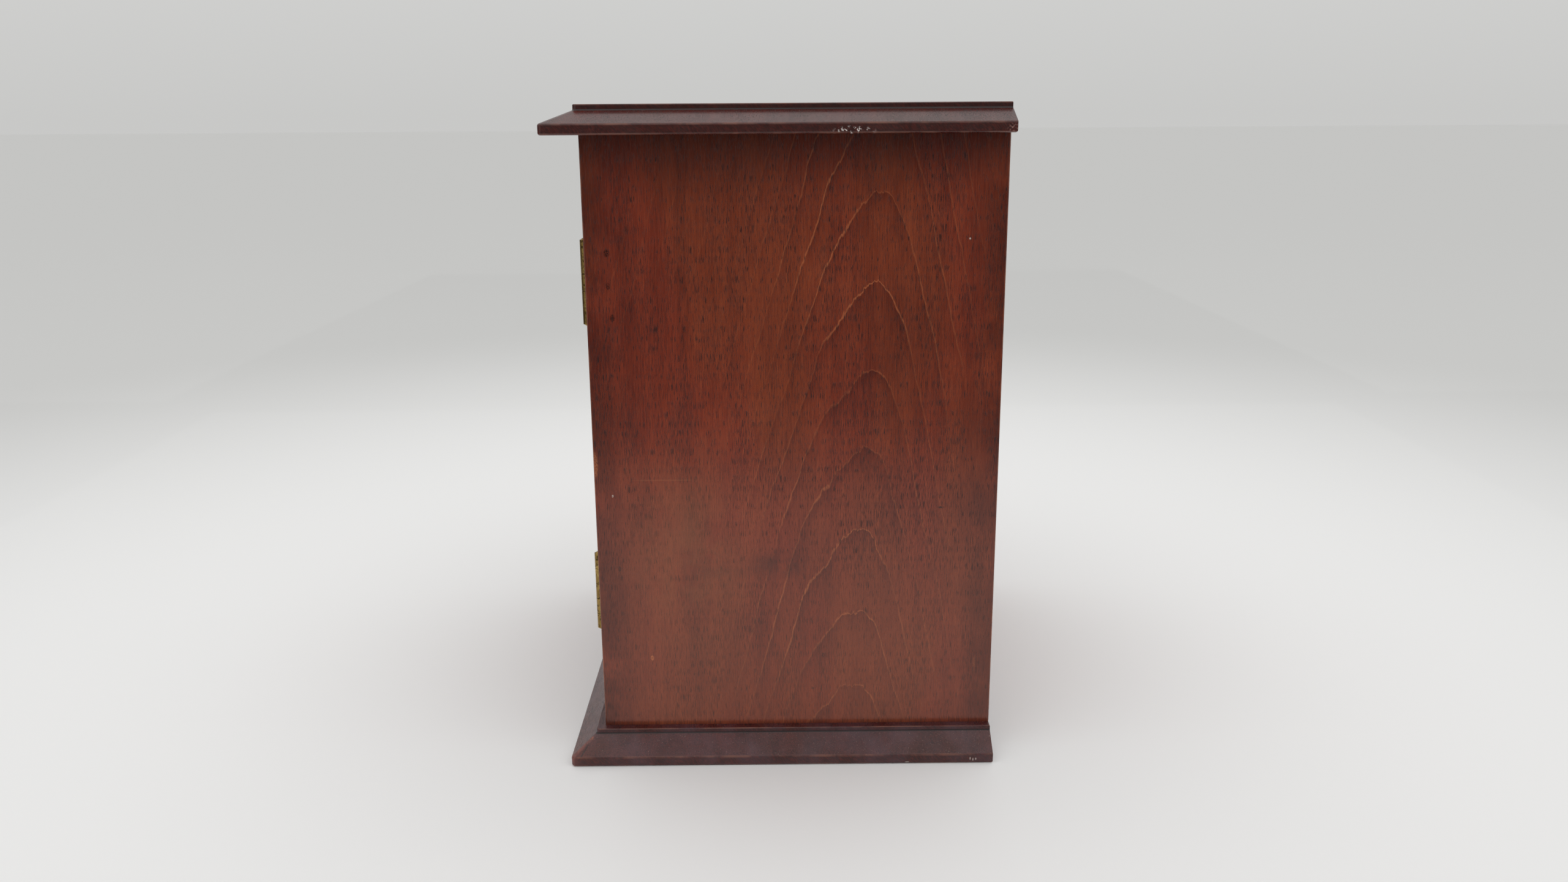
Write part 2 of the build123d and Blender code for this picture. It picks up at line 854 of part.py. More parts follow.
def case_pieces():
    """Everything that stands still, apart from the hinges."""
    return {
        "base_board": base_board(),
        "top_board": top_board(),
        "left_side": case_side(-1),
        "right_side": case_side(1),
        "back_panel": back_panel(),
        "base_screws": screws(base_screws()),
        "back_screws": screws(back_screws()),
        "hinge_case_screws": screws(hinge_screws(1)),
        "nest_left_side": nest_side(-1),
        "nest_right_side": nest_side(1),
        "packing_strips": packing_strips(),
        "drawer_dividers": Compound(children=divider_solids()),
    }


def hinge_pieces():
    """Leaves and pin of each hinge."""
    pieces = {}
    for name, hinge_z in (("upper", upper_hinge_z), ("lower", lower_hinge_z)):
        pieces[f"{name}_hinge_case_leaf"] = hinge_leaf(hinge_z, 1)
        pieces[f"{name}_hinge_door_leaf"] = hinge_leaf(hinge_z, -1)
        pieces[f"{name}_hinge_pin"] = hinge_pin(hinge_z)
    return pieces


def drawer_pieces():
    """The pieces of every drawer, numbered from the top down."""
    pieces = {}
    for number, bay in enumerate(drawer_bays(), start=1):
        pieces[f"drawer_{number}_front"] = drawer_front(bay)
        pieces[f"drawer_{number}_sides"] = drawer_sides(bay)
        pieces[f"drawer_{number}_back"] = drawer_back(bay)
        pieces[f"drawer_{number}_bottom"] = bottom_board(bay)
        pieces[f"drawer_{number}_lining"] = drawer_lining(bay)
        pieces[f"drawer_{number}_knob"] = drawer_knob(bay)
    pieces["ring_rolls"] = ring_rolls(drawer_bays()[0])
    return pieces


def armoire():
    """Every node of the object by name."""
    pieces = case_pieces()
    pieces.update(hinge_pieces())
    pieces.update(door_pieces())
    pieces["lock_bolt"] = bolt_box(0, 0)
    pieces["lock_key"] = lock_key()
    pieces.update(drawer_pieces())
    return pieces


os.makedirs("parts", exist_ok=True)
for node, shape in armoire().items():
    export_step(shape, f"parts/{node}.step")
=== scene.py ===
"""Looks of the jewellery armoire: a small mahogany cabinet with brass hinges and velvet drawers.

Everything is in metres, in the CAD model's frame: +X is the cabinet's right, -Y its front, +Z up.
The floor is at z = 0.
"""
import math
from dataclasses import dataclass

import bpy
from mathutils import Matrix, Vector, noise


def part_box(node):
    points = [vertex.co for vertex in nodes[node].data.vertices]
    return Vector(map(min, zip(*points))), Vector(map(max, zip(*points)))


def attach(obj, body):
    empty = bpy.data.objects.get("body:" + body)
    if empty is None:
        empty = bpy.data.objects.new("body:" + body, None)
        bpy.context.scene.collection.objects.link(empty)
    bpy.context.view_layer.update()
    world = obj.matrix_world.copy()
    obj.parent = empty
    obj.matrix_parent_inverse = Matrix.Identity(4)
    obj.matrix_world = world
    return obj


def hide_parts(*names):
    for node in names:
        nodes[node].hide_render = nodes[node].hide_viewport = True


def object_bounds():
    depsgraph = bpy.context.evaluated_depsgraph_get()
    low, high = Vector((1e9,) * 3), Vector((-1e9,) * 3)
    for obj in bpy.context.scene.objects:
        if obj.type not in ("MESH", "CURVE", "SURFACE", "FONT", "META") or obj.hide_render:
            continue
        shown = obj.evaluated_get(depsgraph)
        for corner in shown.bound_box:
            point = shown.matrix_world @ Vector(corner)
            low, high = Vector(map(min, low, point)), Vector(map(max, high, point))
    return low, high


MM = 0.001

# Square edge and lip of each moulded board
TOP_EDGE, TOP_LIP = 6.2 * MM, 3.4 * MM
BASE_EDGE, BASE_LIP = 6.3 * MM, 3.0 * MM

# How wide a worn arris is, and the share of a mask's width that has its full strength
ARRIS_WIDTH = 0.9 * MM
MASK_CORE = 0.3

# Linings and ring rolls of the drawers
LINING_WALL, LINING_FLOOR = 1.6 * MM, 1.95 * MM
ROLL_COUNT, ROLL_GAP = 8, 1.6 * MM
ROLL_VOXEL, ROLL_SWELL = 3.5 * MM, 0.6 * MM
CLOTH_PRESSURE, CLOTH_FRAMES = 4.0, 20

# Modifiers of the CAD meshes
WELD_REACH, WELD_AFTER_REACH = 0.004 * MM, 0.0005 * MM
SOFT_ARRIS, SOFT_ARRIS_STEPS, SOFT_ARRIS_ANGLE = 0.35 * MM, 3, 50

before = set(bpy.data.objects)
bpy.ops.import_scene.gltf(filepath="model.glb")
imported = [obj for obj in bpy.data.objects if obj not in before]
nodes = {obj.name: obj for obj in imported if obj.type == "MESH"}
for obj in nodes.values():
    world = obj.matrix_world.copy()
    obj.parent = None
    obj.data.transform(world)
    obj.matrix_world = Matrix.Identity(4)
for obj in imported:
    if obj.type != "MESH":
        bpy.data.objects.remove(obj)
cad_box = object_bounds()
low, high = cad_box
middle = (low + high) / 2
side_low, side_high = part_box("right_side")
top_low, top_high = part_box("top_board")
base_low, base_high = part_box("base_board")
door_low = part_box("door_lock_stile")[0]
door_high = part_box("door_hinge_stile")[1]
drawer_numbers = range(1, 6)


# ---------------------------------------------------------------- colours

def srgb(red, green, blue):
    """Linear colour from 0-255 display values."""
    linear = []
    for value in (red, green, blue):
        share = value / 255
        linear.append(share / 12.92 if share <= 0.04045 else ((share + 0.055) / 1.055) ** 2.4)
    return (*linear, 1.0)


POLISHED = {
    "body": srgb(126, 50, 31),
    "dark": srgb(80, 28, 21),
    "light": srgb(152, 70, 42),
    "warm": srgb(152, 78, 42),
    "line": srgb(196, 112, 68),
    "pore": srgb(40, 15, 13),
    "end": srgb(52, 22, 17),
    "rub": srgb(182, 112, 74),
}
DARK = {
    "body": srgb(76, 25, 21),
    "dark": srgb(42, 15, 15),
    "light": srgb(100, 36, 27),
    "warm": srgb(94, 44, 30),
    "line": srgb(108, 50, 36),
    "pore": srgb(20, 9, 9),
    "end": srgb(44, 19, 17),
    "rub": srgb(146, 96, 78),
}
PLAIN = {
    "body": srgb(164, 108, 66),
    "dark": srgb(126, 76, 43),
    "light": srgb(190, 136, 88),
    "warm": srgb(178, 118, 66),
    "line": srgb(128, 78, 44),
    "pore": srgb(78, 42, 24),
    "end": srgb(118, 72, 42),
}
# Colour of the painted shade and stain under the top's overhang and along the upright edges
GRIME_AND_SHADE = srgb(30, 9, 11)


# ---------------------------------------------------------------- node building

class Material:
    """A node material under construction; its methods add one node and return its output socket."""

    def __init__(self, name):
        self.material = bpy.data.materials.new(name)
        self.material.use_nodes = True
        self.tree = self.material.node_tree
        self.shader = self.tree.nodes["Principled BSDF"]
        self.coordinates = self.tree.nodes.new("ShaderNodeTexCoord")
        self.here = self.coordinates.outputs["Object"]
        self.place = self.split(self.here)
        self.facing = self.split(self.coordinates.outputs["Normal"])

    def put(self, socket, value):
        if isinstance(value, bpy.types.NodeSocket):
            self.tree.links.new(value, socket)
        elif value is not None:
            socket.default_value = value

    def node(self, kind, inputs, output=0, **settings):
        made = self.tree.nodes.new(kind)
        for key, value in settings.items():
            setattr(made, key, value)
        for key, value in inputs.items():
            self.put(made.inputs[key], value)
        return made.outputs[output]

    def split(self, vector):
        """The vector's x, y and z, by axis letter."""
        made = self.tree.nodes.new("ShaderNodeSeparateXYZ")
        self.put(made.inputs[0], vector)
        return dict(zip("XYZ", made.outputs))

    def math(self, operation, first, second=None):
        inputs = {0: first}
        if second is not None:
            inputs[1] = second
        return self.node("ShaderNodeMath", inputs, operation=operation)

    def add(self, first, second):
        return self.math("ADD", first, second)

    def less(self, first, second):
        return self.math("SUBTRACT", first, second)

    def centred(self, share):
        """A 0 to 1 value moved to lie about zero."""
        return self.less(share, 0.5)

    def times(self, first, second):
        return self.math("MULTIPLY", first, second)

    def size(self, value):
        return self.math("ABSOLUTE", value)

    def length(self, *parts):
        """Square root of the sum of the parts' squares."""
        total = self.times(parts[0], parts[0])
        for part in parts[1:]:
            total = self.add(total, self.times(part, part))
        return self.math("SQRT", total)

    def point(self, x, y, z):
        return self.node("ShaderNodeCombineXYZ", {0: x, 1: y, 2: z})

    def noise(self, point, scale=1.0, detail=2.0, roughness=0.5, distortion=0.0):
        inputs = {
            "Vector": point,
            "Scale": scale,
            "Detail": detail,
            "Roughness": roughness,
            "Distortion": distortion,
        }
        return self.node("ShaderNodeTexNoise", inputs, noise_dimensions="3D")

    def span(self, value, start, end, to_start=0.0, to_end=1.0):
        """Value mapped smoothly from one span to another, clamped."""
        inputs = {0: value, 1: start, 2: end, 3: to_start, 4: to_end}
        return self.node("ShaderNodeMapRange", inputs, interpolation_type="SMOOTHSTEP", clamp=True)

    def patches(self, scale, start, end, detail=3.0, roughness=0.6):
        """Ragged patches, 0 to 1, where a noise passes from start to end."""
        return self.span(self.noise(self.here, scale, detail, roughness), start, end)

    def mix(self, share, first, second):
        made = self.tree.nodes.new("ShaderNodeMix")
        made.data_type = "RGBA"
        made.clamp_factor = True
        self.put(made.inputs[0], share)
        self.put(made.inputs[6], first)
        self.put(made.inputs[7], second)
        return made.outputs[2]

    def ramp(self, value, stops):
        made = self.tree.nodes.new("ShaderNodeValToRGB")
        elements = made.color_ramp.elements
        while len(elements) < len(stops):
            elements.new(0.5)
        for element, (position, colour) in zip(elements, stops):
            element.position = position
            element.color = colour
        self.put(made.inputs[0], value)
        return made.outputs[0]

    def bump(self, height, strength, distance):
        inputs = {"Height": height, "Strength": strength, "Distance": distance}
        return self.node("ShaderNodeBump", inputs)

    def blob(self, centre, reach, edge=0.5):
        """1 inside an ellipsoid round centre, falling to 0 at its surface."""
        shifted = self.node("ShaderNodeVectorMath", {0: self.here, 1: centre}, operation="SUBTRACT")
        scaled = self.node("ShaderNodeVectorMath", {0: shifted, 1: reach}, operation="DIVIDE")
        length = self.node("ShaderNodeVectorMath", {0: scaled}, output=1, operation="LENGTH")
        return self.span(length, edge, 1.0, 1.0, 0.0)

    def near_line(self, gaps, width):
        """1 on the line where every named axis has its value, falling to 0 at width from it."""
        parts = [self.less(self.place[axis], value) for axis, value in gaps.items()]
        return self.span(self.length(*parts), width * MASK_CORE, width, 1.0, 0.0)

    def near_rim(self, rim_low, rim_high, z, width):
        """1 on the outline of a level rectangle at height z, falling to 0 at width from it."""
        centre, half = (rim_low + rim_high) / 2, (rim_high - rim_low) / 2
        beyond_x = self.less(self.size(self.less(self.place["X"], centre.x)), half.x)
        beyond_y = self.less(self.size(self.less(self.place["Y"], centre.y)), half.y)
        beyond = self.math("MAXIMUM", beyond_x, beyond_y)
        gap = self.length(beyond, self.less(self.place["Z"], z))
        return self.span(gap, width * MASK_CORE, width, 1.0, 0.0)

    def finish(self, colour, roughness, normal, **fixed):
        self.put(self.shader.inputs["Base Color"], colour)
        self.put(self.shader.inputs["Roughness"], roughness)
        self.put(self.shader.inputs["Normal"], normal)
        for key, value in fixed.items():
            self.shader.inputs[key.replace("_", " ")].default_value = value
        return self.material


def paint(material, *names):
    """Gives CAD nodes a material."""
    for name in names:
        slots = nodes[name].data.materials
        slots.clear()
        slots.append(material)


# ---------------------------------------------------------------- wood

@dataclass
class Figure:
    """How a board was sawn: its growth rings are cones seen from the side, so they close in crowns.

    The grain runs along one axis, and the figure shows on one face. The crowns stand at crown across
    the grain, and move by lean along it. spread and taper shape them, and ring is their distance.
    shoulder eases the left legs up to shoulder_reach. wander bends the rings, strength fades them,
    phase moves them on, and shift takes another part of the noises.
    """

    grain: str = "Z"
    face: str = "YZ"
    crown: float = 0.0
    lean: float = 0.0
    spread: float = 20 * MM
    taper: float = 0.225
    ring: float = 11.7 * MM
    shoulder: float = 1.0
    shoulder_reach: float = 35 * MM
    wander: float = 14 * MM
    strength: float = 1.0
    phase: float = 0.0
    shift: float = 0.0

    def axes(self, m):
        """Place across the grain on the face, into the board, and along the grain."""
        across_axis = self.face.replace(self.grain, "")
        depth_axis = (set("XYZ") - set(self.face)).pop()
        along = m.add(m.place[self.grain], self.shift)
        return m.place[across_axis], m.add(m.place[depth_axis], self.shift), along


# Noises of the wood, drawn out along the grain: scale across it and along it, detail, roughness
WOOD_NOISES = {
    "wander": (9.0, 4.5, 2.0, 0.5),
    "ripple": (60.0, 22.0, 3.0, 0.6),
    "jags": (420.0, 110.0, 2.0, 0.7),
    "fade": (25.0, 14.0, 1.0, 0.5),
    "ribbon": (85.0, 3.5, 3.0, 0.55),
    "streak": (1500.0, 60.0, 3.0, 0.65),
    "dash": (3000.0, 170.0, 1.0, 0.5),
    "crowd": (110.0, 20.0, 2.0, 0.5),
    "warmth": (22.0, 6.0, 1.0, 0.5),
}


def wood_noise(m, axes, name):
    across, depth, along = axes
    across_scale, along_scale, detail, roughness = WOOD_NOISES[name]
    point = m.point(
        m.times(across, across_scale), m.times(depth, across_scale), m.times(along, along_scale)
    )
    return m.noise(point, 1.0, detail, roughness)


def growth_rings(m, figure, axes):
    """The thin pale ring lines, and the darker late wood inside each of them, 0 to 1."""
    across, _, along = axes
    ripple_depth, jag_depth = 5.0 * MM, 1.5 * MM
    line_core, line_width = 0.12 * MM, 0.6 * MM
    least_slope = 0.25
    right_jags = 0.25
    wander = m.centred(wood_noise(m, axes, "wander"))
    ripple = m.centred(wood_noise(m, axes, "ripple"))
    jags = m.centred(wood_noise(m, axes, "jags"))

    offset = m.less(across, m.add(m.times(along, figure.lean), figure.crown))
    offset = m.add(offset, m.times(wander, figure.wander))
    left = m.math("LESS_THAN", offset, 0.0)
    beyond = m.math("MINIMUM", m.add(offset, figure.shoulder_reach), 0.0)
    eased = m.add(m.times(offset, figure.shoulder), m.times(beyond, 1.0 - figure.shoulder))
    offset = m.node("ShaderNodeMix", {0: left, 2: offset, 3: eased})

    radius = m.length(offset, figure.spread)
    slope = m.length(m.math("DIVIDE", offset, radius), figure.taper)
    field = m.add(m.add(radius, figure.phase), m.times(along, figure.taper))
    field = m.add(field, m.times(ripple, ripple_depth))
    rough_side = m.add(m.times(left, 1.0 - right_jags), right_jags)
    field = m.add(field, m.times(m.times(jags, rough_side), jag_depth))
    phase = m.math("FRACT", m.times(field, 1.0 / figure.ring))
    to_line = m.math("MINIMUM", phase, m.less(1.0, phase))
    gap = m.times(to_line, figure.ring)
    distance = m.math("DIVIDE", gap, m.math("MAXIMUM", slope, least_slope))

    # the rings are strongest near the crowns, and weaker on their right legs
    fade = m.span(wood_noise(m, axes, "fade"), 0.34, 0.62, 0.25, 1.0)
    reach = m.span(m.size(offset), 22 * MM, 74 * MM, figure.strength, figure.strength * 0.12)
    reach = m.times(reach, m.span(offset, 6 * MM, 26 * MM, 1.0, 0.55))
    line = m.times(m.span(distance, line_core, line_width, 1.0, 0.0), m.times(fade, reach))
    late = m.times(m.math("POWER", phase, 4.0), reach)
    return line, late


def fibres(m, axes):
    """Ribbon and streak along the grain, and the open pores, drawn as short dark dashes."""
    few_pores, many_pores, pore_edge = 0.61, 0.52, 0.06
    ribbon = wood_noise(m, axes, "ribbon")
    streak = wood_noise(m, axes, "streak")
    dash = wood_noise(m, axes, "dash")
    crowd = m.span(wood_noise(m, axes, "crowd"), 0.3, 0.7, few_pores, many_pores)
    pore = m.span(m.less(dash, crowd), 0.0, pore_edge)
    return ribbon, streak, pore


# How far each layer of a wood covers what is under it
LAYER = {"line": 0.5, "pore": 0.78, "flecks": 0.75, "ends": 0.75, "rub": 0.45, "crease_dirt_and_shade": 0.85}


def wood(name, palette, figure, polish=0.24, marks_and_painted_light=None, rub=(), crease_dirt_and_shade=None):
    """Mahogany: body tones, growth rings, fibres, pores, end grain and marks, some of them painted
    shade and reflection, with bump and gloss.

    The marks function changes the body colour further, with real marks and, on some boards, painted
    shade and painted reflection. Each of rub gives the mask of a worn arris, and the crease mask
    gives that of a dark line along a hollow crease, painted shade with some soil in it.
    """
    m = Material(name)
    axes = figure.axes(m)
    line, late = growth_rings(m, figure, axes)
    ribbon, streak, pore = fibres(m, axes)
    blotch = m.noise(m.here, 17.0, 3.0, 0.55)

    tone = m.add(m.times(m.centred(ribbon), 0.5), 0.5)
    tone = m.add(tone, m.times(m.centred(streak), 0.9))
    tone = m.add(tone, m.times(m.centred(blotch), 0.4))
    tone = m.less(tone, m.times(late, 0.2))
    stops = [(0.15, palette["dark"]), (0.5, palette["body"]), (0.85, palette["light"])]
    body = m.ramp(tone, stops)
    warmth = m.span(wood_noise(m, axes, "warmth"), 0.35, 0.65, 0.0, 0.5)
    body = m.mix(warmth, body, m.mix(tone, palette["dark"], palette["warm"]))
    body = m.mix(m.times(line, LAYER["line"]), body, palette["line"])
    body = m.mix(m.times(pore, LAYER["pore"]), body, palette["pore"])

    # the ends of the fibres: darker, with slanted flecks
    across, depth, along = axes
    ends = m.span(m.size(m.facing[figure.grain]), 0.5, 0.85)
    slant = m.add(across, m.times(depth, 0.8))
    flecks = m.noise(m.point(m.times(slant, 1100.0), m.times(depth, 420.0), along), 1.0, 4.0, 0.7)
    flecked = m.span(flecks, 0.4, 0.7, 0.0, LAYER["flecks"])
    end_colour = m.mix(flecked, palette["end"], palette["light"])
    body = m.mix(m.times(ends, LAYER["ends"]), body, end_colour)

    gloss = m.add(m.times(m.noise(m.here, 60.0), 0.08), polish - 0.04)
    gloss = m.add(gloss, m.times(m.add(pore, ends), 0.1))
    # Real marks, and on some boards painted shade and painted reflection
    if marks_and_painted_light is not None:
        body = marks_and_painted_light(m, body)
    for mask_of in rub:
        worn = m.times(mask_of(m), m.patches(60.0, 0.36, 0.66, 4.0))
        body = m.mix(m.times(worn, LAYER["rub"]), body, palette["rub"])
        gloss = m.add(gloss, m.times(worn, 0.15))
    # A dark line in the hollow crease at the lip's foot: painted shade, with some soil
    if crease_dirt_and_shade is not None:
        body = m.mix(m.times(crease_dirt_and_shade(m), LAYER["crease_dirt_and_shade"]), body, palette["pore"])

    height = m.less(m.times(streak, 0.3), m.times(pore, 0.5))
    return m.finish(body, gloss, m.bump(height, 0.4, 0.15 * MM))


def upright_arris(x, y):
    """Mask of an upright arris, made for whichever material asks for it."""
    return lambda m: m.near_line({"X": x, "Y": y}, ARRIS_WIDTH)


def level_rim(rim_low, rim_high, z, width=ARRIS_WIDTH):
    """Mask of a level outline at height z, made for whichever material asks for it."""
    return lambda m: m.near_rim(rim_low, rim_high, z, width)


def add_marks(m, body, marks):
    """Ragged spots of colour: each has a centre, a reach, a colour and a strength."""
    for centre, reach, colour, strength in marks:
        ragged = m.patches(900.0, 0.3, 0.55, 2.0)
        body = m.mix(m.times(m.times(m.blob(centre, reach), ragged), strength), body, colour)
    return body


def grime_and_shade(m, body, strength, along):
    """Painted shade under the top's overhang, where old polish and soil also gather, and along the
    two upright edges, darker partly from stain and partly as painted shade.

    along holds the axis from edge to edge, its middle, and half the distance between the edges.
    """
    axis, centre, half = along
    full_below, faded_below, edge_reach = 2 * MM, 52 * MM, 34 * MM
    top = side_high.z
    # Painted shade with some old polish and soil, darkest just under the top's overhang
    dirt_and_shade_share = m.span(m.place["Z"], top - faded_below, top - full_below, 0.0, strength)
    # The upright edges are darker in patches, partly from stain and partly as painted shade
    inward = m.less(half, m.size(m.less(m.place[axis], centre)))
    edge = m.times(m.span(inward, 0.0, edge_reach, 1.0, 0.0), m.patches(26.0, 0.2, 0.6))
    dirt_and_shade_share = m.math("MAXIMUM", dirt_and_shade_share, m.times(edge, strength * 0.75))
    return m.mix(dirt_and_shade_share, body, GRIME_AND_SHADE)


def right_side_wear_and_painted_light(m, body):
    """Filled screw tips by the hinges, a smudge, knocks, chips, a scratch and specks; a faded patch,
    a painted reflection of the floor that lightens the lower part, a darker foot, and the side's
    painted shade and stain.
    """
    x = side_high.x
    stopping, bare, speck = srgb(26, 13, 12), srgb(206, 120, 72), srgb(226, 216, 206)

    def spot(y, z, half_y, half_z, colour, strength):
        return ((x, y * MM, z * MM), (3 * MM, half_y * MM, half_z * MM), colour, strength)

    marks = [
        spot(-101.5, 324.9, 2.2, 3.0, stopping, 0.8),
        spot(-101.5, 305.3, 1.8, 2.6, stopping, 0.6),
        spot(-99.6, 286.3, 2.0, 2.8, stopping, 0.7),
        spot(-101.4, 127.0, 1.4, 2.0, stopping, 0.6),
        spot(-101.0, 97.0, 1.4, 2.2, stopping, 0.5),
        spot(27.0, 67.0, 1.3, 2.0, stopping, 0.8),
        spot(20.0, 44.0, 1.5, 1.2, stopping, 0.7),
        spot(100.0, 166.0, 2.6, 0.9, stopping, 0.8),
        spot(-83.0, 66.0, 1.4, 2.2, bare, 0.8),
        spot(-104.0, 175.0, 0.7, 1.0, speck, 0.9),
        spot(113.0, 332.0, 0.7, 0.8, speck, 0.9),
        spot(-114.0, 195.0, 2.2, 10.0, bare, 0.8),
        spot(124.0, 60.0, 1.0, 7.0, bare, 0.3),
    ]
    body = add_marks(m, body, marks)
    smudge = m.blob((x, -1 * MM, 129 * MM), (9 * MM, 27 * MM, 12 * MM), 0.1)
    tail = m.blob((x, -36 * MM, 124 * MM), (9 * MM, 26 * MM, 5 * MM), 0.1)
    smoke = m.times(m.math("MAXIMUM", smudge, m.times(tail, 0.5)), m.patches(90.0, 0.3, 0.6))
    body = m.mix(m.times(smoke, 0.55), body, srgb(46, 24, 24))
    scratch = m.blob((x, -72 * MM, 185 * MM), (3 * MM, 25 * MM, 0.5 * MM))
    body = m.mix(m.times(scratch, 0.2), body, POLISHED["rub"])
    faded = m.blob((x, -62 * MM, 135 * MM), (9 * MM, 66 * MM, 90 * MM), 0.0)
    faded = m.times(faded, m.patches(30.0, 0.2, 0.6))
    body = m.mix(m.times(faded, 0.45), body, srgb(146, 86, 54))
    # Painted reflection of the pale floor: the side is lighter towards its bottom
    bloom = m.span(m.place["Z"], 30 * MM, 190 * MM, 0.28, 0.0)
    body = m.mix(bloom, body, srgb(134, 82, 62))
    foot = m.span(m.place["Z"], side_low.z, side_low.z + 9 * MM, 0.75, 0.0)
    foot = m.times(foot, m.patches(170.0, 0.3, 0.6))
    body = m.mix(foot, body, srgb(46, 20, 22))
    # Painted shade and stain under the top's overhang and along the upright edges
    return side_grime_and_shade(m, body)


def side_grime_and_shade(m, body):
    """Painted shade and stain of a side board, whose upright edges are at its front and back."""
    centre, half = (side_low.y + side_high.y) / 2, (side_high.y - side_low.y) / 2
    return grime_and_shade(m, body, 0.62, ("Y", centre, half))


def back_grime_and_shade(m, body):
    """Painted shade and stain of the back panel, whose upright edges are at its left and right."""
    return grime_and_shade(m, body, 0.5, ("X", 0.0, side_high.x))


def top_wear(m, body):
    """Pale chips on the lower arris of the right edge, and fine dust on the top."""
    x, z = top_high.x, top_low.z
    chips = m.blob((x, 43 * MM, z + 1.0 * MM), (6 * MM, 14 * MM, 4.0 * MM), 0.3)
    chips = m.times(chips, m.patches(520.0, 0.54, 0.58, 2.0))
    body = m.mix(m.times(chips, 0.9), body, srgb(222, 214, 210))
    back_chips = m.blob((x, top_high.y - 2 * MM, z + 2.5 * MM), (6 * MM, 5 * MM, 3.5 * MM), 0.3)
    back_chips = m.times(back_chips, m.patches(900.0, 0.54, 0.6, 2.0))
    body = m.mix(m.times(back_chips, 0.55), body, srgb(176, 132, 122))
    dust = m.times(m.patches(1400.0, 0.70, 0.74, 1.0), m.span(m.facing["Z"], 0.5, 0.9))
    return m.mix(m.times(dust, 0.35), body, srgb(168, 150, 142))


def base_wear(m, body):
    """Dust on the bevels, a corner worn red on the right, a dark shake beside it, and scratches."""
    corner = (base_high.x, base_low.y, base_low.z)
    ruddy = m.blob(corner, (40 * MM, 16 * MM, 24 * MM), 0.0)
    ruddy = m.times(ruddy, m.patches(110.0, 0.3, 0.65))
    body = m.mix(m.times(ruddy, 0.4), body, srgb(120, 52, 38))
    off_mitre = m.less(m.less(base_high.x, m.place["X"]), m.less(m.place["Y"], base_low.y))
    near_corner = m.blob(corner, (24 * MM, 24 * MM, 22 * MM), 0.7)
    mitre = m.times(m.span(m.size(off_mitre), 0.6 * MM, 3.0 * MM, 1.0, 0.0), near_corner)
    mitre = m.times(mitre, m.patches(260.0, 0.3, 0.6))
    body = m.mix(m.times(mitre, 0.5), body, srgb(150, 84, 72))
    bare_centre = (base_high.x - 12 * MM, base_low.y + 12 * MM, base_low.z + 14 * MM)
    bare = m.times(m.blob(bare_centre, (3 * MM, 3 * MM, 2 * MM), 0.1), m.patches(600.0, 0.4, 0.6))
    body = m.mix(m.times(bare, 0.6), body, srgb(176, 100, 66))
    # scratches in the right edge: y, z and half the size along each, in millimetres
    scratches = [
        (80.0, 1.2, 1.8, 0.5),
        (120.4, 3.3, 0.5, 1.3),
        (122.2, 2.6, 0.5, 1.3),
        (124.0, 3.0, 0.6, 1.0),
    ]
    for y, z, half_y, half_z in scratches:
        scratch = m.blob((base_high.x, y * MM, z * MM), (3 * MM, half_y * MM, half_z * MM))
        body = m.mix(m.times(scratch, 0.6), body, srgb(206, 190, 182))
    # the shake leans back as it climbs the bevel
    shake_lean, shake_start = 0.8, 1.0 * MM
    off_shake = m.less(m.less(m.place["Y"], base_low.y), m.times(m.place["Z"], shake_lean))
    shake_centre = (base_high.x - 3 * MM, base_low.y + 7 * MM, base_low.z + 8 * MM)
    shake = m.blob(shake_centre, (12 * MM, 5 * MM, 6 * MM), 0.6)
    from_shake = m.size(m.less(off_shake, shake_start))
    shake = m.times(shake, m.span(from_shake, 0.2 * MM, 0.7 * MM, 1.0, 0.0))
    body = m.mix(m.times(shake, 0.8), body, DARK["pore"])
    body = m.mix(m.patches(40.0, 0.3, 0.8), body, m.mix(0.3, body, srgb(104, 84, 96)))
    dust = m.times(m.patches(1300.0, 0.69, 0.74, 1.0), m.span(m.facing["Z"], 0.3, 0.8))
    return m.mix(m.times(dust, 0.35), body, srgb(160, 136, 126))


def board_rims(name, lip_z, edge_top, lip_depth):
    """A moulded board's three worn arrises and, where its lip meets the bevel, its dark crease line
    of painted shade with some soil.
    """
    board_low, board_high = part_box(name)
    lip_points_below = 1.0 * MM
    points = [vertex.co for vertex in nodes[name].data.vertices]
    rim = [co for co in points if co.z > lip_z - lip_points_below]
    lip_low = Vector((min(co.x for co in rim), min(co.y for co in rim), lip_z))
    lip_high = Vector((max(co.x for co in rim), max(co.y for co in rim), lip_z))
    worn = [
        level_rim(board_low, board_high, board_low.z, 1.5 * MM),
        level_rim(board_low, board_high, board_low.z + edge_top, 1.2 * MM),
        level_rim(lip_low, lip_high, lip_z),
    ]
    # The crease at the lip's foot, darkened as painted shade with some soil
    return worn, level_rim(lip_low, lip_high, lip_z - lip_depth)


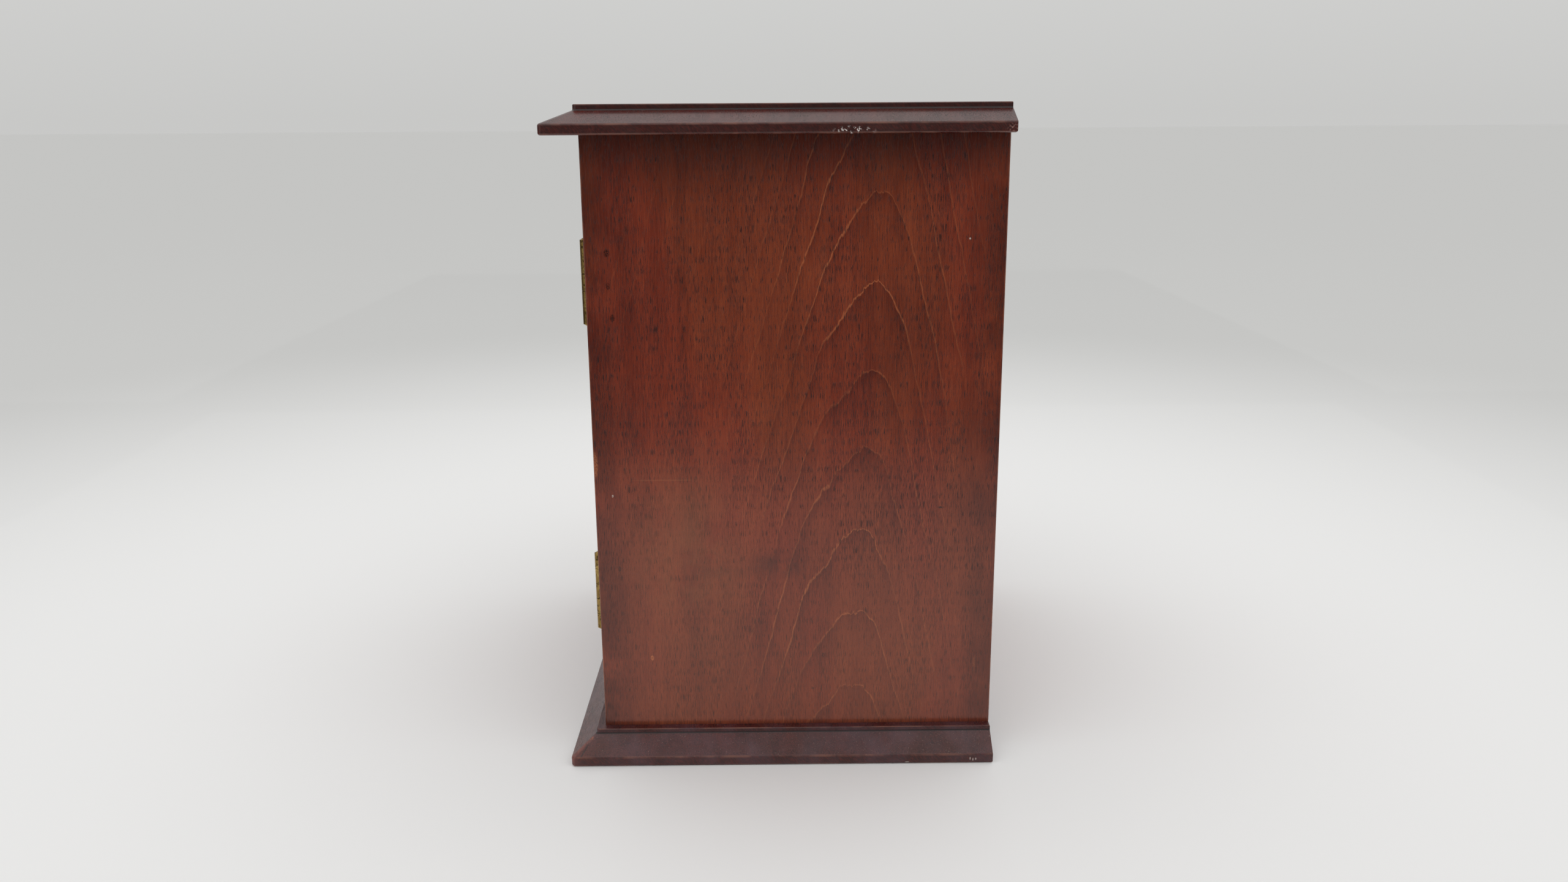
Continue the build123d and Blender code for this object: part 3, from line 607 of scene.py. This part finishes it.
def case_woods():
    """Right and left sides, top and base boards, and the stained back."""
    corners = [upright_arris(side_high.x, y) for y in (side_low.y, side_high.y)]
    left_corners = [upright_arris(-side_high.x, y) for y in (side_low.y, side_high.y)]
    right = Figure(crown=46 * MM, lean=0.052, shoulder=0.62, phase=4.7 * MM)
    left = Figure(crown=-28 * MM, lean=-0.04, shoulder=0.8, ring=10.3 * MM, shift=73 * MM)
    paint(wood("mahogany_right", POLISHED, right, 0.225, right_side_wear_and_painted_light, corners), "right_side")
    paint(wood("mahogany_left", POLISHED, left, 0.225, side_grime_and_shade, left_corners), "left_side")

    flat = Figure(grain="X", face="XY", crown=14 * MM, lean=0.03, strength=0.5)
    top_rims, top_crease_dirt_and_shade = board_rims("top_board", top_high.z, TOP_EDGE, TOP_LIP)
    base_rims, base_crease_dirt_and_shade = board_rims("base_board", base_high.z, BASE_EDGE, BASE_LIP)
    paint(wood("dark_top", DARK, flat, 0.21, top_wear, top_rims, top_crease_dirt_and_shade), "top_board")
    paint(wood("dark_base", DARK, flat, 0.28, base_wear, base_rims, base_crease_dirt_and_shade), "base_board")
    back = Figure(face="XZ", crown=20 * MM, lean=-0.03, shift=31 * MM)
    paint(wood("stained_back", POLISHED, back, 0.42, back_grime_and_shade), "back_panel")


def door_woods():
    """Stiles, rails and panel of the door, each with the grain along its own length."""
    rubs = []
    for x in (door_low.x, door_high.x):
        rubs += [upright_arris(x, y) for y in (door_low.y, door_high.y)]
    stile = Figure(face="XZ", crown=-80 * MM, spread=60 * MM, ring=7.5 * MM, strength=0.35)
    rail = Figure(grain="X", face="XZ", crown=60 * MM, spread=60 * MM, ring=7.5 * MM, strength=0.35)
    panel = Figure(
        face="XZ", crown=-6 * MM, lean=0.03, shoulder=0.75, ring=10.5 * MM, shift=17 * MM
    )
    paint(wood("mahogany_stiles", POLISHED, stile, rub=rubs), "door_hinge_stile", "door_lock_stile")
    paint(wood("mahogany_rails", POLISHED, rail), "door_top_rail", "door_bottom_rail")
    paint(wood("mahogany_panel", POLISHED, panel), "door_panel")


def inside_woods():
    """Drawer fronts, and the plain wood of everything that the fronts hide."""
    fronts = Figure(grain="X", face="XZ", crown=180 * MM, spread=40 * MM, ring=9 * MM, taper=0.12)
    front_names = [f"drawer_{i}_front" for i in drawer_numbers]
    paint(wood("drawer_front_wood", POLISHED, fronts), *front_names)

    sides = Figure(grain="Y", face="YZ", spread=50 * MM, ring=6 * MM, strength=0.5)
    cross = Figure(grain="X", face="XZ", spread=50 * MM, ring=6 * MM, strength=0.5)
    floors = Figure(grain="X", face="XY", spread=50 * MM, ring=7 * MM, strength=0.5)
    upright = Figure(face="YZ", spread=50 * MM, ring=7 * MM, strength=0.5)
    side_wood = wood("drawer_side_wood", PLAIN, sides, 0.5)
    cross_wood = wood("drawer_back_wood", PLAIN, cross, 0.5)
    floor_wood = wood("drawer_bottom_wood", PLAIN, floors, 0.5)
    upright_wood = wood("nest_wood", PLAIN, upright, 0.5)
    for i in drawer_numbers:
        paint(side_wood, f"drawer_{i}_sides")
        paint(cross_wood, f"drawer_{i}_back")
        paint(floor_wood, f"drawer_{i}_bottom")
    paint(upright_wood, "nest_left_side", "nest_right_side", "packing_strips")
    paint(floor_wood, "drawer_dividers")


# ---------------------------------------------------------------- metal

def brass_material():
    """Old brass: dull yellow with brown spots and darker hollows."""
    m = Material("aged_brass")
    cloud = m.noise(m.here, 140.0, 4.0, 0.6)
    spots = m.patches(620.0, 0.52, 0.66)
    stops = [(0.3, srgb(112, 88, 50)), (0.5, srgb(150, 122, 70)), (0.72, srgb(192, 162, 100))]
    colour = m.mix(m.times(spots, 0.75), m.ramp(cloud, stops), srgb(52, 38, 24))
    rough = m.add(m.times(cloud, 0.25), m.times(spots, 0.22))
    height = m.less(m.noise(m.here, 1800.0), m.times(spots, 0.6))
    normal = m.bump(height, 0.25, 0.05 * MM)
    return m.finish(colour, m.add(rough, 0.22), normal, Metallic=1.0)


def steel_material():
    """Dull iron with brown bloom."""
    m = Material("dull_steel")
    bloom = m.patches(500.0, 0.4, 0.66, 4.0)
    colour = m.mix(bloom, srgb(120, 116, 112), srgb(74, 52, 40))
    rough = m.add(m.times(bloom, 0.3), 0.32)
    normal = m.bump(m.noise(m.here, 1500.0, 3.0), 0.3, 0.04 * MM)
    return m.finish(colour, rough, normal, Metallic=0.9)


def paint_metal():
    """Iron screws, key and bolt; brass hinges, knobs, lock and escutcheon."""
    brass, steel = brass_material(), steel_material()
    steel_names = ("base_screws", "back_screws", "lock_key", "lock_bolt")
    brass_words = ("hinge_case_", "hinge_door_", "hinge_pin", "_knob", "lock_case", "lock_screws")
    for name in nodes:
        if name in steel_names:
            paint(steel, name)
        elif name == "keyhole_escutcheon" or any(word in name for word in brass_words):
            paint(brass, name)


# ---------------------------------------------------------------- velvet

def velvet_material():
    """Short burgundy pile with crushed patches."""
    m = Material("velvet")
    pile = m.noise(m.here, 2600.0, 2.0, 0.7)
    crush = m.noise(m.here, 34.0, 4.0, 0.6, 0.8)
    stops = [(0.3, srgb(66, 9, 20)), (0.55, srgb(94, 17, 32)), (0.75, srgb(126, 34, 50))]
    colour = m.mix(m.times(pile, 0.35), m.ramp(crush, stops), srgb(40, 4, 11))
    normal = m.bump(m.add(pile, m.times(crush, 0.8)), 0.6, 0.25 * MM)
    rough = m.span(pile, 0.3, 0.7, 0.78, 0.95)
    return m.finish(
        colour,
        rough,
        normal,
        Sheen_Weight=0.45,
        Sheen_Roughness=0.35,
        Sheen_Tint=srgb(214, 96, 116),
        Specular_IOR_Level=0.2,
    )


def add_piece(name, vertices, faces, material, body, slot):
    """A new smooth piece that rides on a body."""
    mesh = bpy.data.meshes.new(name)
    mesh.from_pydata(vertices, [], faces)
    mesh.materials.append(material)
    mesh.polygons.foreach_set("use_smooth", [True] * len(mesh.polygons))
    piece = bpy.data.objects.new(name, mesh)
    bpy.context.scene.collection.objects.link(piece)
    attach(piece, body)
    return piece


def loft(rings):
    """Vertices and faces of a closed form through rings of points, with a fan at each end."""
    count = len(rings[0])
    vertices = [point for ring in rings for point in ring]
    faces = []
    for start in range(0, (len(rings) - 1) * count, count):
        for step in range(count):
            after = (step + 1) % count
            faces.append((start + step, start + after, start + count + after, start + count + step))
    last = (len(rings) - 1) * count
    for start, ring, flipped in ((0, rings[0], True), (last, rings[-1], False)):
        hub = len(vertices)
        vertices.append([sum(values) / count for values in zip(*ring)])
        for step in range(count):
            pair = (start + step, start + (step + 1) % count)
            faces.append((hub, *reversed(pair)) if flipped else (hub, *pair))
    return vertices, faces


def rounded_loop(centre, half_x, half_y, radius, side_steps=14, corner_steps=4):
    """Points round a rectangle with rounded corners, evenly spread along its sides."""
    radius = min(radius, half_x * 0.9, half_y * 0.9)
    points = []
    for corner in range(4):
        sign_x = 1 if corner in (0, 3) else -1
        sign_y = 1 if corner in (0, 1) else -1
        middle_x, middle_y = sign_x * (half_x - radius), sign_y * (half_y - radius)
        for step in range(corner_steps + 1):
            angle = math.pi / 2 * (corner + step / corner_steps)
            x = middle_x + radius * math.cos(angle)
            y = middle_y + radius * math.sin(angle)
            points.append(Vector((centre.x + x, centre.y + y)))
    filled = []
    for index, start in enumerate(points):
        filled.append(start)
        if index % (corner_steps + 1) == corner_steps:
            end = points[(index + 1) % len(points)]
            filled += [start.lerp(end, step / side_steps) for step in range(1, side_steps)]
    return filled


def velvet_lining(index, velvet):
    """A drawer's lining: velvet over card walls with a rolled top edge, and a padded floor."""
    node = f"drawer_{index}_lining"
    box_low, box_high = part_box(node)
    centre, half = (box_low + box_high) / 2, (box_high - box_low) / 2
    wall, outer, inner = LINING_WALL, 0.8 * MM, 1.6 * MM
    roll = wall / 2
    # each step: inset from the outside, height above the bottom, corner radius
    deep = box_high.z - box_low.z
    profile = [
        (0.1 * MM, 0.0, outer),
        (0.0, 0.5 * MM, outer),
        (0.0, deep * 0.5, outer),
        (0.0, deep - roll, outer),
        (roll * 0.3, deep - roll * 0.3, outer),
        (roll, deep, outer),
        (wall - roll * 0.3, deep - roll * 0.3, 1.2 * MM),
        (wall, deep - roll, inner),
        (wall, deep * 0.66, inner),
        (wall - 0.15 * MM, deep * 0.33, inner),
        (wall, 3.0 * MM, inner),
        (wall + 0.1 * MM, 1.0 * MM, inner),
        (wall + 0.5 * MM, 0.7 * MM, 1.8 * MM),
        (wall + 1.0 * MM, 1.0 * MM, 2.4 * MM),
        (wall + 1.9 * MM, 1.5 * MM, 3.0 * MM),
        (wall + 4.0 * MM, 1.75 * MM, 4.0 * MM),
    ]
    widest = min(half.x, half.y) - 2 * MM
    for share in (0.12, 0.22, 0.34, 0.47, 0.60, 0.74, 0.88, 1.0):
        profile.append((widest * share, LINING_FLOOR, 4.0 * MM))
    sink_depth, sink_scale, sink_start = 0.25 * MM, 28, wall + 3.5 * MM
    rings = []
    for inset, rise, radius in profile:
        ring = []
        for point in rounded_loop(centre, half.x - inset, half.y - inset, radius):
            sunk = 0.0
            if inset > sink_start:
                spot = Vector((point.x * sink_scale, point.y * sink_scale, index))
                sunk = sink_depth * (1 + noise.noise(spot))
            ring.append((point.x, point.y, box_low.z + rise - sunk))
        rings.append(ring)
    piece = add_piece(f"velvet_lining_{index}", *loft(rings), velvet, f"drawer_{index}", "velvet")
    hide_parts(node)


def roll_section(half_width, height, steps=9):
    """Outline of a ring roll across its length: flat below, round above."""
    corner = 3.0 * MM
    dome = height - half_width
    points = [(-(half_width - corner), 0.0), (0.0, 0.0), (half_width - corner, 0.0)]
    points += [(half_width - corner * 0.3, corner * 0.3), (half_width, corner)]
    for step in range(steps + 1):
        angle = math.pi * step / steps
        points.append((half_width * math.cos(angle), dome + half_width * math.sin(angle)))
    points += [(-half_width, corner), (-(half_width - corner * 0.3), corner * 0.3)]
    return points


def ring_roll_mesh(box_low, box_high, rolls):
    """All the rolls, side by side from front to back, each tucked in at both ends.

    They start smaller than their box by as much as the cloth may swell.
    """
    pitch = (box_high.y - box_low.y + ROLL_GAP) / rolls
    shrink = ROLL_SWELL
    half_width = (pitch - ROLL_GAP) / 2 - shrink
    height = box_high.z - box_low.z - shrink
    section = roll_section(half_width, height)
    end_steps = [(0.0, 0.55), (0.8 * MM, 0.78), (2.5 * MM, 0.93), (5.5 * MM, 1.0)]
    length = box_high.x - box_low.x - 2 * shrink
    stations = list(end_steps)
    stations += [(length * share, 1.0) for share in (0.2, 0.35, 0.5, 0.65, 0.8)]
    stations += [(length - gap, scale) for gap, scale in reversed(end_steps)]
    vertices, faces = [], []
    for roll in range(rolls):
        y = box_low.y + pitch * roll + half_width + shrink
        rings = []
        for gap, scale in stations:
            x = box_low.x + shrink + gap
            level = box_low.z + height * 0.42 * (1 - scale)
            ring = [(x, y + across * scale, level + rise * scale) for across, rise in section]
            rings.append(ring)
        roll_vertices, roll_faces = loft(rings)
        start = len(vertices)
        vertices += roll_vertices
        faces += [tuple(start + corner for corner in face) for face in roll_faces]
    return vertices, faces


def evaluated_mesh(piece):
    """A new mesh of the piece with its modifiers applied."""
    graph = bpy.context.evaluated_depsgraph_get()
    return bpy.data.meshes.new_from_object(piece.evaluated_get(graph))


def puff(piece, voxel, cap):
    """Remeshes a closed piece and swells it by cloth pressure; no point moves further than cap."""
    remesh = piece.modifiers.new("remesh", "REMESH")
    remesh.mode = "VOXEL"
    remesh.voxel_size = voxel
    remesh.use_smooth_shade = True
    piece.data = evaluated_mesh(piece)
    piece.modifiers.clear()
    cloth = piece.modifiers.new("cloth", "CLOTH")
    cloth.settings.use_pressure = True
    cloth.settings.uniform_pressure_force = CLOTH_PRESSURE
    cloth.settings.effector_weights.gravity = 0.0
    cloth.point_cache.frame_start = 1
    cloth.point_cache.frame_end = CLOTH_FRAMES
    for step in range(1, CLOTH_FRAMES + 1):
        bpy.context.scene.frame_set(step)
    swollen = evaluated_mesh(piece)
    for vertex, moved in zip(piece.data.vertices, swollen.vertices):
        shift = moved.co - vertex.co
        if shift.length > cap:
            shift = shift.normalized() * cap
        vertex.co += shift
    piece.modifiers.clear()
    bpy.context.scene.frame_set(1)
    smooth = piece.modifiers.new("smooth", "SUBSURF")
    smooth.levels = smooth.render_levels = 1


def ring_rolls(velvet):
    """Padded velvet rolls in the top drawer, with a slit between each pair to hold rings."""
    box_low, box_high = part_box("ring_rolls")
    vertices, faces = ring_roll_mesh(box_low, box_high, ROLL_COUNT)
    piece = add_piece("padded_ring_rolls", vertices, faces, velvet, "drawer_1", "velvet")
    puff(piece, ROLL_VOXEL, ROLL_SWELL)
    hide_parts("ring_rolls")


# ---------------------------------------------------------------- stage, camera and light

def floor_material():
    """Pale paper, painted lighter near the object so that its shadow stays faint, and painted greyer
    with distance as the light falls off.
    """
    m = Material("stage_floor")
    away = m.length(m.place["X"], m.place["Y"])
    fibre = m.noise(m.here, 900.0)
    near, far = srgb(243, 243, 243), srgb(207, 207, 206)
    # Painted light: brightest close to the object, greying further out
    colour = m.mix(m.span(away, 0.35, 1.6), near, far)
    return m.finish(colour, 0.9, m.bump(fibre, 0.1, 0.2 * MM), Specular_IOR_Level=0.1)


def card_material():
    """Dark card."""
    m = Material("stage_cards")
    colour = m.mix(m.noise(m.here, 3.0), srgb(34, 30, 28), srgb(42, 38, 36))
    return m.finish(colour, 0.9, m.bump(m.noise(m.here, 90.0), 0.1, 1 * MM))


def plane(name, corners, material):
    """A flat piece of the stage."""
    mesh = bpy.data.meshes.new(name)
    mesh.from_pydata(corners, [], [tuple(range(len(corners)))])
    made = bpy.data.objects.new(name, mesh)
    bpy.context.scene.collection.objects.link(made)
    mesh.materials.append(material)
    return made


def build_stage():
    """A pale floor, and beyond each side of the object a dark card that only reflections see."""
    # the floor is just under the object, so that their faces don't coincide
    size, z = 30.0, low.z - 0.1 * MM
    corners = [(-size, -size, z), (size, -size, z), (size, size, z), (-size, size, z)]
    plane("stage_floor", corners, floor_material())

    dark = card_material()
    gap, far, tall, half_width = 0.66, 2.2, 1.1, 0.9
    under = Vector((middle.x, middle.y, 1 * MM))
    ways = {
        "right": (Vector((1, 0, 0)), high.x - middle.x),
        "left": (Vector((-1, 0, 0)), high.x - middle.x),
        "front": (Vector((0, -1, 0)), high.y - middle.y),
        "back": (Vector((0, 1, 0)), high.y - middle.y),
    }
    for name, (way, reach) in ways.items():
        across = Vector((way.y, way.x, 0)) * half_width
        near_line = under + way * (reach + gap)
        far_line = under + way * (reach + far)
        top_line = far_line + Vector((0, 0, tall))
        for part, start, end in (("floor", near_line, far_line), ("wall", far_line, top_line)):
            corners = [start - across, start + across, end + across, end - across]
            card = plane(f"stage_card_{name}_{part}", corners, dark)
            card.visible_camera = False
            card.visible_diffuse = False
            card.visible_shadow = False
            card.visible_transmission = False


def build_camera():
    """Camera at the photograph's place: 0.74 m from the right side, level with the top."""
    pitch, yaw, roll = 0.2581, -0.0064, -0.0066
    place = Vector((side_high.x + 739.4 * MM, -2.2 * MM, 404.7 * MM))
    base = Matrix(((0, 1, 0), (0, 0, -1), (-1, 0, 0)))
    turn = Matrix.Rotation(roll, 3, "Z") @ Matrix.Rotation(pitch, 3, "X")
    turn = turn @ Matrix.Rotation(yaw, 3, "Y") @ base
    data = bpy.data.cameras.new("camera")
    data.lens = 28.6
    data.sensor_width = 36.0
    data.clip_start = 0.01
    camera = bpy.data.objects.new("camera", data)
    bpy.context.scene.collection.objects.link(camera)
    columns = Matrix((turn[0], -turn[1], -turn[2])).transposed()
    camera.matrix_world = Matrix.Translation(place) @ columns.to_4x4()
    bpy.context.scene.camera = camera


def build_light():
    """Soft white room: a pale sky that is brightest overhead, and one large overhead panel."""
    world = bpy.data.worlds.new("studio")
    bpy.context.scene.world = world
    world.use_nodes = True
    tree = world.node_tree
    background = tree.nodes["Background"]
    place = tree.nodes.new("ShaderNodeTexCoord")
    split = tree.nodes.new("ShaderNodeSeparateXYZ")
    ramp = tree.nodes.new("ShaderNodeValToRGB")
    tree.links.new(place.outputs["Generated"], split.inputs[0])
    tree.links.new(split.outputs[2], ramp.inputs[0])
    tree.links.new(ramp.outputs[0], background.inputs["Color"])
    horizon, overhead = ramp.color_ramp.elements
    horizon.position, horizon.color = 0.0, (0.61, 0.61, 0.60, 1)
    overhead.position, overhead.color = 0.75, (1.0, 1.0, 0.99, 1)
    background.inputs["Strength"].default_value = 0.95

    panel = bpy.data.lights.new("light_top", "AREA")
    panel.shape = "RECTANGLE"
    panel.size = panel.size_y = 2.6
    panel.energy = 6.0
    light = bpy.data.objects.new("light_top", panel)
    bpy.context.scene.collection.objects.link(light)
    light.location = (0.1, 0.0, 2.4)
    bpy.context.scene.view_settings.view_transform = "Standard"


# ---------------------------------------------------------------- assembly

def add_weld(cad_object, name, reach):
    """Joins points that are nearer to each other than reach."""
    weld = cad_object.modifiers.new(name, "WELD")
    weld.merge_threshold = reach


def soften_arrises():
    """Joins each CAD mesh's doubled points, and takes the sharpness off the wooden arrises.

    The two dark boards are left as they are, because their arrises are already round.
    """
    woods = ("mahogany", "stained", "drawer", "nest")
    for cad_object in nodes.values():
        add_weld(cad_object, "weld", WELD_REACH)
        if not cad_object.data.materials[0].name.startswith(woods):
            continue
        bevel = cad_object.modifiers.new("arris", "BEVEL")
        bevel.width = SOFT_ARRIS
        bevel.segments = SOFT_ARRIS_STEPS
        bevel.limit_method = "ANGLE"
        bevel.angle_limit = math.radians(SOFT_ARRIS_ANGLE)
        bevel.harden_normals = True
        add_weld(cad_object, "weld_after", WELD_AFTER_REACH)


build_stage()
build_camera()
build_light()
velvet = velvet_material()
for i in drawer_numbers:
    velvet_lining(i, velvet)
ring_rolls(velvet)
case_woods()
door_woods()
inside_woods()
paint_metal()
soften_arrises()
